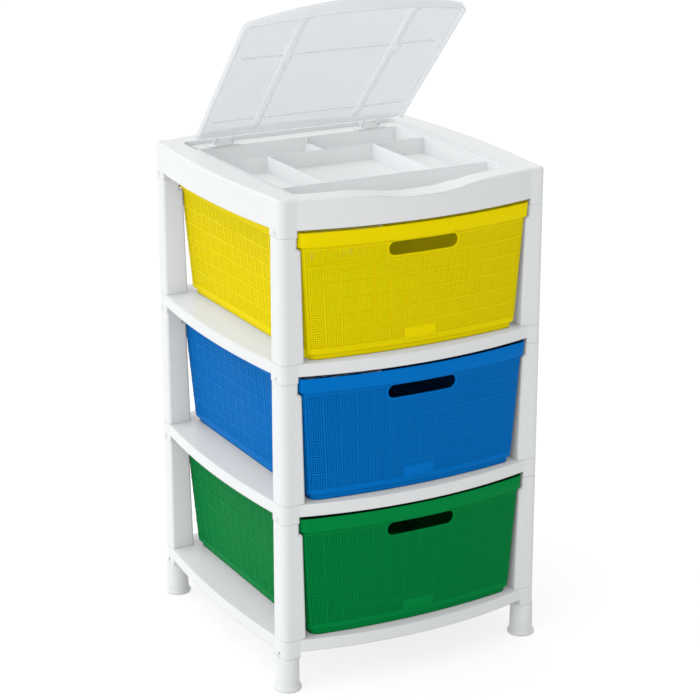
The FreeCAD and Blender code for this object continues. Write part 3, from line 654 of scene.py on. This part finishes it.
class WeaveTree:
    """The geometry node tree that weaves a wall between two guide curves."""

    CELL = "weave_cell"
    OUTWARD = "weave_out"
    WELD = 0.01 * MM

    INPUTS = {
        "Geometry": "NodeSocketGeometry",
        "Rib Columns": 14, "Rib Rows": 6, "Holes Per Rib": 7, "Low Level": 0.0, "High Level": 0.1,
        "Thickness": 0.0017, "Hole Share": 0.45, "Rib Extra": 0.3, "Rib Lift": 0.0003,
        "Unevenness": 0.0, "Seed": 3, "Slot Straight": 0.0, "Slot Radius": -1.0, "Slot Level": 0.0,
        "Plate Half Width": -1.0, "Plate Half Height": -1.0, "Plate Level": 0.0,
        "Material": "NodeSocketMaterial", "Inner Material": "NodeSocketMaterial",
        "Low Guide": "NodeSocketObject", "High Guide": "NodeSocketObject"}

    def __init__(self) -> None:
        """Lay out the tree: a grid is laid between the guides, holed, made thick and coated."""
        self.tree, self.given, out = new_group(
            "woven_wall", "GeometryNodeTree", self.INPUTS, {"Geometry": "NodeSocketGeometry"})
        sheet = self.laid(*self.grid())
        holed = self.tree.add("GeometryNodeDeleteGeometry", {"Geometry": sheet, "Selection": self.gone()},
                              domain="FACE", mode="ALL").outputs[0]
        self.tree.feed(out.inputs[0], self.thickened(holed))

    def store(self, geometry: object, name: str, value: object) -> bpy.types.NodeSocket:
        """Store a named vector on the points of a geometry."""
        feeds = {"Geometry": geometry, "Name": name, "Value": value}
        return self.tree.add("GeometryNodeStoreNamedAttribute", feeds,
                             data_type="FLOAT_VECTOR", domain="POINT").outputs[0]

    def stored(self, name: str) -> bpy.types.NodeSocket:
        """Read a stored vector by its name."""
        return self.tree.add("GeometryNodeInputNamedAttribute", {"Name": name},
                             data_type="FLOAT_VECTOR").outputs[0]

    def boundary(self, number: object) -> bpy.types.NodeSocket:
        """Place of a grid line in pitches, with the bar of every rib made wider.

        Args:
            number: Number of the grid line.

        Returns:
            Its place.
        """
        tree = self.tree
        per_rib = self.given["Holes Per Rib"]
        extra = self.given["Rib Extra"]
        pair = tree.math("FLOOR", tree.math("DIVIDE", number, 2.0))
        odd = tree.math("SUBTRACT", number, tree.math("MULTIPLY", pair, 2.0))
        bar = tree.math("SUBTRACT", 1.0, self.given["Hole Share"])
        before = tree.math("CEIL", tree.math("DIVIDE", pair, per_rib))
        through = tree.math("ADD", tree.math("FLOOR", tree.math("DIVIDE", pair, per_rib)), 1.0)
        ribs = tree.math("ADD", tree.math("MULTIPLY", odd, tree.math("SUBTRACT", through, before)), before)
        return tree.math("ADD", tree.math("ADD", pair, tree.math("MULTIPLY", odd, bar)),
                         tree.math("MULTIPLY", ribs, extra))

    def on_rib(self, number: object) -> bpy.types.NodeSocket:
        """Whether a grid line bounds a rib.

        Args:
            number: Number of the grid line.

        Returns:
            1 on a rib, else 0.
        """
        tree = self.tree
        pair = tree.math("FLOOR", tree.math("DIVIDE", number, 2.0))
        rest = tree.math("MODULO", pair, self.given["Holes Per Rib"])
        return tree.math("LESS_THAN", rest, 0.5)

    def grid(self) -> tuple:
        """A flat grid with a cell for each bar and hole, and each point's numbers stored on it.

        Returns:
            The grid, and each point's share of the wall's length and of its height.
        """
        tree = self.tree
        lines = {}
        for axis in ("Columns", "Rows"):
            holes = tree.math("MULTIPLY", self.given["Rib " + axis], self.given["Holes Per Rib"])
            cells = tree.math("ADD", tree.math("MULTIPLY", holes, 2.0), 1.0)
            lines[axis] = (cells, tree.math("ADD", cells, 1.0))
        grid = tree.add("GeometryNodeMeshGrid", {
            "Size X": lines["Columns"][0], "Size Y": lines["Rows"][0],
            "Vertices X": lines["Columns"][1], "Vertices Y": lines["Rows"][1]})
        spot = tree.split(tree.add("GeometryNodeInputPosition").outputs[0])
        halves = [tree.math("DIVIDE", cells, 2.0) for cells, _ in lines.values()]
        column, row = [tree.math("ROUND", tree.math("ADD", spot[k], halves[k])) for k in (0, 1)]
        rib = tree.math("MAXIMUM", self.on_rib(column), self.on_rib(row))
        cell = tree.add("ShaderNodeCombineXYZ", {0: column, 1: row, 2: rib}).outputs[0]
        along, up = [tree.math("DIVIDE", self.boundary(number), self.boundary(lines[axis][0]))
                     for axis, number in (("Columns", column), ("Rows", row))]
        return self.store(grid.outputs["Mesh"], self.CELL, cell), along, up

    def laid(self, grid: object, along: object, up: object) -> bpy.types.NodeSocket:
        """Lay the grid between the guides as the wall's inside, with the way out stored on it.

        Args:
            grid: The flat grid.
            along: Each point's share of the wall's length.
            up: Each point's share of its height.

        Returns:
            The laid sheet.
        """
        tree, given = self.tree, self.given
        samples = []
        for guide in ("Low Guide", "High Guide"):
            curve = tree.add("GeometryNodeObjectInfo", {"Object": given[guide]}).outputs["Geometry"]
            samples.append(tree.add("GeometryNodeSampleCurve", {"Curves": curve, "Factor": along},
                                    mode="FACTOR", use_all_curves=True).outputs)
        place, tangent = [self.blend(up, *(sample[name] for sample in samples))
                          for name in ("Position", "Tangent")]
        outward = tree.vector("NORMALIZE", tree.vector("CROSS_PRODUCT", tangent, (0.0, 0.0, 1.0)))
        level = tree.spread(up, 0.0, 1.0, given["Low Level"], given["High Level"])
        rise = tree.add("ShaderNodeCombineXYZ", {2: level}).outputs[0]
        back = tree.vector("SCALE", outward, scale=tree.math("MULTIPLY", given["Thickness"], -1.0))
        position = tree.vector("ADD", tree.vector("ADD", place, back), rise)
        facing = self.store(grid, self.OUTWARD, outward)
        return tree.add("GeometryNodeSetPosition", {"Geometry": facing, "Position": position}).outputs[0]

    def thickened(self, sheet: object) -> bpy.types.NodeSocket:
        """Give the holed sheet its thickness, raised ribs and both materials.

        Args:
            sheet: The holed sheet.

        Returns:
            The woven wall.
        """
        tree, given = self.tree, self.given
        raised = tree.split(self.stored(self.CELL))[2]
        away = self.stored(self.OUTWARD)
        thick = tree.add("GeometryNodeExtrudeMesh", {
            "Mesh": sheet, "Offset": away, "Offset Scale": given["Thickness"],
            "Individual": False}, mode="FACES")
        swell = tree.add("FunctionNodeRandomValue", {3: given["Unevenness"], "Seed": given["Seed"]},
                         data_type="FLOAT").outputs[1]
        height = tree.math("ADD", tree.math("MULTIPLY", raised, given["Rib Lift"]), swell)
        ribbed = tree.add("GeometryNodeSetPosition", {
            "Geometry": thick.outputs["Mesh"], "Selection": thick.outputs["Top"],
            "Offset": tree.vector("SCALE", away, scale=height)})
        inner = tree.add("GeometryNodeFlipFaces", {"Mesh": sheet})
        joined = tree.add("GeometryNodeJoinGeometry")
        for part in (ribbed, inner):
            tree.feed(joined.inputs[0], part.outputs[0])
        weld = {"Geometry": joined.outputs[0], "Distance": self.WELD}
        geometry = tree.add("GeometryNodeMergeByDistance", weld).outputs[0]
        for name in (self.CELL, self.OUTWARD):
            spent = {"Geometry": geometry, "Name": name}
            geometry = tree.add("GeometryNodeRemoveAttribute", spent).outputs[0]
        real = tree.add("GeometryNodeRealizeInstances", {"Geometry": geometry})
        # The inside and the hole sides take the full finish, with painted corner and room shade; the outside
        # faces take the bare finish.
        lined = tree.add("GeometryNodeSetMaterial", {
            "Geometry": real.outputs[0], "Material": given["Inner Material"]})
        coated = tree.add("GeometryNodeSetMaterial", {
            "Geometry": lined.outputs[0], "Selection": thick.outputs["Top"], "Material": given["Material"]})
        return coated.outputs[0]

    def blend(self, share: object, low: object, high: object) -> bpy.types.NodeSocket:
        """Mix two vectors.

        Args:
            share: How much of the second.
            low: First vector.
            high: Second vector.

        Returns:
            The mixed vector.
        """
        node = self.tree.add("ShaderNodeMix", data_type="VECTOR")
        self.tree.feed(node.inputs[0], share)
        self.tree.feed(node.inputs[4], low)
        self.tree.feed(node.inputs[5], high)
        return node.outputs[1]

    def gone(self) -> bpy.types.NodeSocket:
        """Which faces are left out: the holes, but none under the plate, and all in the slot.

        Returns:
            A selection on faces.
        """
        tree, given = self.tree, self.given
        cell = tree.split(self.stored(self.CELL))
        hole = tree.math("MULTIPLY", *[tree.math("MODULO", tree.math("FLOOR", cell[k]), 2.0) for k in (0, 1)])
        spot = tree.split(tree.add("GeometryNodeInputPosition").outputs[0])
        across = tree.math("ABSOLUTE", spot[0])
        over = tree.math("MAXIMUM", tree.math("SUBTRACT", across, given["Slot Straight"]), 0.0)
        up = tree.math("SUBTRACT", spot[2], given["Slot Level"])
        squares = [tree.math("MULTIPLY", length, length) for length in (over, up)]
        reach = tree.math("SQRT", tree.math("ADD", *squares))
        slot = tree.math("LESS_THAN", reach, given["Slot Radius"])
        plate_up = tree.math("ABSOLUTE", tree.math("SUBTRACT", spot[2], given["Plate Level"]))
        beside = tree.math("GREATER_THAN", across, given["Plate Half Width"])
        above = tree.math("GREATER_THAN", plate_up, given["Plate Half Height"])
        bare = tree.math("MULTIPLY", hole, tree.math("MAXIMUM", beside, above))
        wanted = tree.math("MAXIMUM", bare, slot)
        return tree.math("GREATER_THAN", wanted, 0.5)

    def weave(self, name: str, values: dict[str, object]) -> bpy.types.Object:
        """Run the tree and give its mesh as a plain object.

        Args:
            name: Name of the object.
            values: Value of each named input.

        Returns:
            The new object.
        """
        host = placed(name + "_host", bpy.data.meshes.new(name + "_host"))
        modifier = host.modifiers.new("weave", "NODES")
        modifier.node_group = self.tree.tree
        for item in self.tree.tree.interface.items_tree:
            if item.item_type == "SOCKET" and item.in_out == "INPUT" and item.name in values:
                modifier[item.identifier] = values[item.name]
        host.update_tag()
        depsgraph = bpy.context.evaluated_depsgraph_get()
        mesh = bpy.data.meshes.new_from_object(host.evaluated_get(depsgraph), depsgraph=depsgraph)
        mesh.name = name
        bpy.data.objects.remove(host)
        return placed(name, mesh)


def guide_curve(name: str, points: list[Vector]) -> bpy.types.Object:
    """A poly curve through plan points, for the weaving tree.

    Args:
        name: Name of the object.
        points: The points on plan.

    Returns:
        The new curve object.
    """
    curve = bpy.data.curves.new(name, "CURVE")
    curve.dimensions = "3D"
    spline = curve.splines.new("POLY")
    spline.points.add(len(points) - 1)
    for slot, point in zip(spline.points, points):
        slot.co = (point.x, point.y, 0.0, 1.0)
    return placed(name, curve)


@dataclass
class Bin:
    """A drawer: plinth and floor, four woven walls, rim, finger slot and blank label plate."""

    name: str
    finish: Finish
    slot: str
    base: float
    plinth: Plan = Plan(140.5 * MM, 186.3 * MM, 154 * MM, 830 * MM)
    low: Plan = Plan(144.5 * MM, 188.5 * MM, 158 * MM, 830 * MM)
    high: Plan = Plan(153.5 * MM, 197.5 * MM, 167 * MM, 650 * MM)
    rim: Plan = Plan(158.5 * MM, 200 * MM, 172 * MM, 650 * MM)
    plinth_height: float = 7 * MM
    wall_top: float = 140 * MM
    rim_height: float = 18 * MM
    rim_draft: float = 1.2 * MM
    rim_round: float = 0.5 * MM
    base_round: float = 0.6 * MM
    base_round_middle: float = 0.17 * MM
    plinth_flare: float = 0.4 * MM
    thickness: float = 1.7 * MM
    weave_low: float = 12.8 * MM
    weave_high: float = 137.6 * MM
    weave: Weave = Weave()
    close_weave: Weave = Weave(bar=1.70 * MM, hole=1.25 * MM, thickness=1.7 * MM)
    stamp: Stamp = Stamp()
    seed: int = 3
    pieces: list[bpy.types.Object] = field(default_factory=list)

    WALLS = {"front": 14, "right_side": 16, "rear": 14, "left_side": 16}
    CLOSE_WALLS = ("right_side", "rear")
    RIB_ROWS = 6
    ROUND_MIDDLE = 0.29
    EDGE_MIDDLE = 0.15

    def plan_at(self, level: float) -> Plan:
        """Outside of the tapering walls at a level above the bin's base."""
        share = (level - self.plinth_height) / (self.wall_top - self.plinth_height)
        return self.low.blended(self.high, share)

    def front_point(self, x: float, level: float, lift: float) -> Vector:
        """A point on the bowed front wall.

        Args:
            x: Distance from the middle.
            level: Height above the bin's base.
            lift: Distance outwards from the wall.

        Returns:
            The point.
        """
        section = self.plan_at(level)
        y = section.bow - section.front - math.sqrt((section.bow + lift) ** 2 - x * x)
        return Vector((x, y, level))

    def build(self, tree: WeaveTree) -> None:
        """Make all pieces.

        Args:
            tree: The weaving tree.
        """
        self.build_base()
        self.build_rim()
        self.build_walls(tree)
        self.build_slot_border()
        self.build_label_plate()
        shift = Matrix.Translation((0, 0, self.base))
        for piece in self.pieces:
            piece.data.transform(shift)
            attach(piece, self.name)
        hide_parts(self.name)

    def build_base(self) -> None:
        """Plinth, floor and the plain band under the weave."""
        t = self.thickness
        step = self.plinth_height
        band = self.plan_at(self.weave_low)
        soft = self.base_round
        middle = self.base_round_middle
        self.pieces.append(swept(self.name + "_base", [
            (self.plinth.moved_in(soft), 0.0),
            (self.plinth.moved_in(middle), middle),
            (self.plinth, soft),
            (self.plinth, step - self.plinth_flare),
            (self.plinth.moved_in(-self.plinth_flare), step),
            (self.low.moved_in(soft), step),
            (self.low.moved_in(middle), step + middle),
            (self.plan_at(step + soft), step + soft),
            (band, self.weave_low),
            (band.moved_in(t), self.weave_low),
            (self.low.moved_in(t), step + t),
            (self.plinth.moved_in(t), step + t),
            (self.plinth.moved_in(t), t)], self.finish, closed=False))

    def build_rim(self) -> None:
        """Stepped rim with a rounded top edge over the collar of the walls."""
        t = self.thickness
        top = self.wall_top + self.rim_height
        collar = self.plan_at(self.weave_high)
        draft = self.rim_draft
        soft = self.rim_round
        middle = soft * self.ROUND_MIDDLE
        edge = t * self.EDGE_MIDDLE
        self.pieces.append(swept(self.name + "_rim", [
            (collar, self.weave_high),
            (self.high, self.wall_top),
            (self.rim.moved_in(draft + soft), self.wall_top),
            (self.rim.moved_in(draft + middle), self.wall_top + middle),
            (self.rim.moved_in(draft), self.wall_top + soft),
            (self.rim, top - t / 2),
            (self.rim.moved_in(edge), top - edge),
            (self.rim.moved_in(t / 2), top),
            (self.rim.moved_in(t - edge), top - edge),
            (self.rim.moved_in(t), top - t / 2),
            (self.rim.moved_in(t + draft), self.wall_top + t),
            (self.high.moved_in(t), self.wall_top + t),
            (collar.moved_in(t), self.weave_high)], self.finish, closed=True))

    def build_walls(self, tree: WeaveTree) -> None:
        """Weave the four walls from corner middle to corner middle.

        Args:
            tree: The weaving tree.
        """
        low = self.plan_at(self.weave_low)
        high = self.plan_at(self.weave_high)
        for number, (wall, ribs) in enumerate(self.WALLS.items()):
            weave = self.close_weave if wall in self.CLOSE_WALLS else self.weave
            pitch = weave.bar + weave.hole
            guides = [guide_curve("guide", section.wall(number)) for section in (low, high)]
            values = {
                "Rib Columns": ribs, "Rib Rows": self.RIB_ROWS, "Holes Per Rib": weave.holes_per_rib,
                "Low Level": self.weave_low, "High Level": self.weave_high,
                "Thickness": weave.thickness, "Hole Share": weave.hole / pitch,
                "Rib Extra": weave.rib_extra / pitch, "Rib Lift": weave.rib_lift,
                "Unevenness": weave.unevenness, "Seed": self.seed + number,
                "Material": Plastics.of(self.finish, fine=True), "Inner Material": Plastics.of(self.finish),
                "Low Guide": guides[0], "High Guide": guides[1],
            }
            if wall == "front":
                stamp = self.stamp
                values.update({
                    "Slot Straight": stamp.slot_half_width - stamp.slot_half_height,
                    "Slot Radius": stamp.slot_half_height + stamp.slot_border * stamp.cut_share,
                    "Slot Level": stamp.slot_level,
                    "Plate Half Width": stamp.label_half_width, "Plate Half Height": stamp.label_half_height,
                    "Plate Level": stamp.label_level})
            self.pieces.append(tree.weave("%s_%s_weave" % (self.name, wall), values))
            for guide in guides:
                bpy.data.objects.remove(guide)

    def build_slot_border(self) -> None:
        """Raised border round the finger slot."""
        stamp = self.stamp
        straight = stamp.slot_half_width - stamp.slot_half_height
        steps = stamp.END_STEPS
        spans = stamp.SIDE_SPANS

        def outline(grown: float) -> list[tuple[float, float]]:
            """The slot's outline, grown outwards.

            Args:
                grown: How far.

            Returns:
                Pairs of distance from the middle and level.
            """
            radius = stamp.slot_half_height + grown
            points = []
            for side in (1, -1):
                points += [(side * (straight + radius * math.sin(math.pi * i / steps)),
                            stamp.slot_level - side * radius * math.cos(math.pi * i / steps))
                           for i in range(steps + 1)]
                points += [(side * straight * (1 - 2 * i / spans), stamp.slot_level + side * radius)
                           for i in range(1, spans)]
            return points

        border = stamp.slot_border
        top = stamp.relief
        shoulder = stamp.slot_shoulder
        middle = shoulder * stamp.SHOULDER_MIDDLE
        under = -self.thickness - stamp.slot_sunk
        rings = ((0.0, under), (0.0, top - shoulder), (middle, top - middle), (shoulder, top),
                 (border - shoulder, top), (border - middle, top - middle),
                 (border, top - shoulder), (border, under))
        points = []
        for grown, lift in rings:
            points += [self.front_point(x, z, lift) for x, z in outline(grown)]
        count = len(points) // len(rings)
        faces = [tuple(reversed(f)) for f in rings_faces(len(rings), count, closed=True)]
        self.pieces.append(solid(self.name + "_slot_border", points, faces, self.finish))

    def build_label_plate(self) -> None:
        """Blank raised plate low on the front."""
        stamp = self.stamp
        spans = stamp.LABEL_SPANS
        soft = stamp.label_round
        middle = soft * stamp.SHOULDER_MIDDLE
        top = stamp.relief
        rings = ((0.0, -stamp.label_sunk), (0.0, top - soft), (middle, top - middle), (soft, top))
        points = []
        for inset, lift in rings:
            half_x = stamp.label_half_width - inset
            half_z = stamp.label_half_height - inset
            for side in (-1, 1):
                z = stamp.label_level + side * half_z
                points += [self.front_point(-side * half_x * (1 - 2 * i / spans), z, lift)
                           for i in range(spans + 1)]
        count = len(points) // len(rings)
        faces = rings_faces(len(rings), count, closed=False)[:-2]
        for base, flip in ((0, True), (3 * count, False)):
            for i in range(spans):
                face = (base + i, base + i + 1, base + count - i - 2, base + count - i - 1)
                faces.append(tuple(reversed(face)) if flip else face)
        self.pieces.append(solid(self.name + "_label_plate", points, faces, self.finish))


@dataclass
class Foot:
    """A turned foot with a rounded rim: radii and levels in millimetres, from the bore round the rim."""

    name: str
    x: float
    y: float
    profile: tuple = (
        (11.5, 40.0), (12.0, 1.2), (12.6, 0.35), (13.6, 0.0), (15.6, 0.0), (16.9, 0.35), (17.45, 1.2),
        (17.6, 2.4), (17.45, 3.6), (16.9, 4.5), (16.0, 5.2), (15.3, 6.4), (15.0, 8.4), (14.35, 42.8),
        (14.1, 43.7), (13.6, 44.0))
    steps: int = 64
    smooth_angle: float = 30.0

    def build(self) -> None:
        """Make the foot, in place of the one with straight bevels."""
        angles = [2 * math.pi * i / self.steps for i in range(self.steps)]
        points = []
        for radius, level in self.profile:
            r, z = radius * MM, level * MM
            points += [Vector((self.x + r * math.cos(a), self.y + r * math.sin(a), z)) for a in angles]
        faces = rings_faces(len(self.profile), self.steps, closed=False)
        foot = solid(self.name + "_turned", points, faces, Finish.WHITE, self.smooth_angle)
        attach(foot, "tower")
        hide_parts(self.name)


@dataclass(frozen=True)
class Frame:
    """The white shelves, posts and deck, and the clear lid and its clips."""

    body: Finish = Finish.WHITE
    cover: Finish = Finish.CLEAR
    cover_name: str = "lid"

    def dress(self) -> None:
        """Give every node that is kept its plastic."""
        for name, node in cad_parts.items():
            if node.hide_render:
                continue
            finish = self.cover if name == self.cover_name else self.body
            node.data.materials.clear()
            node.data.materials.append(Plastics.of(finish))
            log.info("%s: %s", name, finish.value.name)


@dataclass(frozen=True)
class Sky:
    """Soft light from all round, brighter from one side."""

    level: float = 0.73
    from_left: float = 0.62
    from_front: float = -0.2
    from_above: float = 0.3
    least: float = 0.05

    def build(self) -> None:
        """Make the world, white where the camera and reflections see it."""
        world = bpy.data.worlds.new("studio")
        bpy.context.scene.world = world
        world.use_nodes = True
        tree = Tree(world.node_tree)
        tree.tree.nodes.clear()
        towards = tree.add("ShaderNodeTexCoord").outputs["Generated"]
        lean = (-self.from_left, -self.from_front, self.from_above)
        slope = tree.vector("DOT_PRODUCT", towards, lean)
        strength = tree.math("MAXIMUM", tree.math("ADD", self.level, slope), self.least)
        soft = tree.add("ShaderNodeBackground", {"Color": (1.0, 1.0, 1.0, 1.0), "Strength": strength})
        plain = tree.add("ShaderNodeBackground", {"Color": (1.0, 1.0, 1.0, 1.0), "Strength": 1.0})
        both = tree.add("ShaderNodeMixShader", {0: tree.seen(), 1: soft.outputs[0], 2: plain.outputs[0]})
        tree.add("ShaderNodeOutputWorld", {"Surface": both.outputs[0]})


@dataclass(frozen=True)
class Floor:
    """A pale floor that reads white and keeps the shadow."""

    half_width: float = 30.0
    colour: Colour = (0.9, 0.9, 0.9)
    fibre_scale: float = 40.0
    fibre_detail: float = 2.0
    fibre_low: float = 0.99
    seen_share: float = 0.4
    lift: float = 0.74

    def build(self) -> None:
        """Make the floor."""
        w = self.half_width
        mesh = bpy.data.meshes.new("floor")
        mesh.from_pydata([(-w, -w, 0), (w, -w, 0), (w, w, 0), (-w, w, 0)], [], [(0, 1, 2, 3)])
        floor = placed("floor", mesh)
        material, tree = new_material("floor_paper")
        fibres = tree.noise(self.fibre_scale, self.fibre_detail, self.fibre_low, 1.0)
        tint = tree.mix(1.0, (*self.colour, 1.0), tree.grey(fibres), "MULTIPLY")
        seen = tree.seen()
        share = tree.grey(tree.spread(seen, 0.0, 1.0, 1.0, self.seen_share))
        paper = tree.add("ShaderNodeBsdfDiffuse", {"Color": tree.mix(1.0, tint, share, "MULTIPLY")})
        glow = tree.add("ShaderNodeEmission", {"Strength": tree.math("MULTIPLY", seen, self.lift)})
        both = tree.add("ShaderNodeAddShader", {0: paper.outputs[0], 1: glow.outputs[0]})
        tree.add("ShaderNodeOutputMaterial", {"Surface": both.outputs[0]})
        mesh.materials.append(material)


@dataclass(frozen=True)
class Camera:
    """The photograph's camera."""

    place: tuple = (-1.27679, -2.37617, 1.25017)
    azimuth: float = -28.374
    elevation: float = 18.174
    lens: float = 114.06
    sensor: float = 36.0
    clip: tuple = (0.1, 100.0)

    def build(self) -> None:
        """Make the camera."""
        data = bpy.data.cameras.new("camera")
        data.lens = self.lens
        data.sensor_width = self.sensor
        data.clip_start, data.clip_end = self.clip
        camera = placed("camera", data)
        camera.location = self.place
        camera.rotation_euler = (math.radians(90 - self.elevation), 0.0, math.radians(self.azimuth))
        bpy.context.scene.camera = camera


BINS = (("upper_drawer", Finish.YELLOW, 423.5 * MM), ("middle_drawer", Finish.BLUE, 245.9 * MM),
        ("lower_drawer", Finish.GREEN, 68.3 * MM))
FEET_ACROSS = {"left": -170 * MM, "right": 170 * MM}
FEET_ALONG = {"front": -165 * MM, "rear": 165 * MM}


def main() -> None:
    """Build the scene."""
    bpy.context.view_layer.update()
    bpy.context.scene.view_settings.view_transform = "Standard"
    Camera().build()
    Sky().build()
    Floor().build()
    log.info("stage: camera, sky and floor")
    tree = WeaveTree()
    for name, finish, base in BINS:
        drawer = Bin(name, finish, finish.value.name, base)
        drawer.build(tree)
        for piece in drawer.pieces:
            log.info("%s: %d faces", piece.name, len(piece.data.polygons))
    for side, x in FEET_ACROSS.items():
        for end, y in FEET_ALONG.items():
            Foot("foot_%s_%s" % (end, side), x, y).build()
            log.info("foot_%s_%s: turned", end, side)
    Frame().dress()


if __name__ == "__main__":
    main()
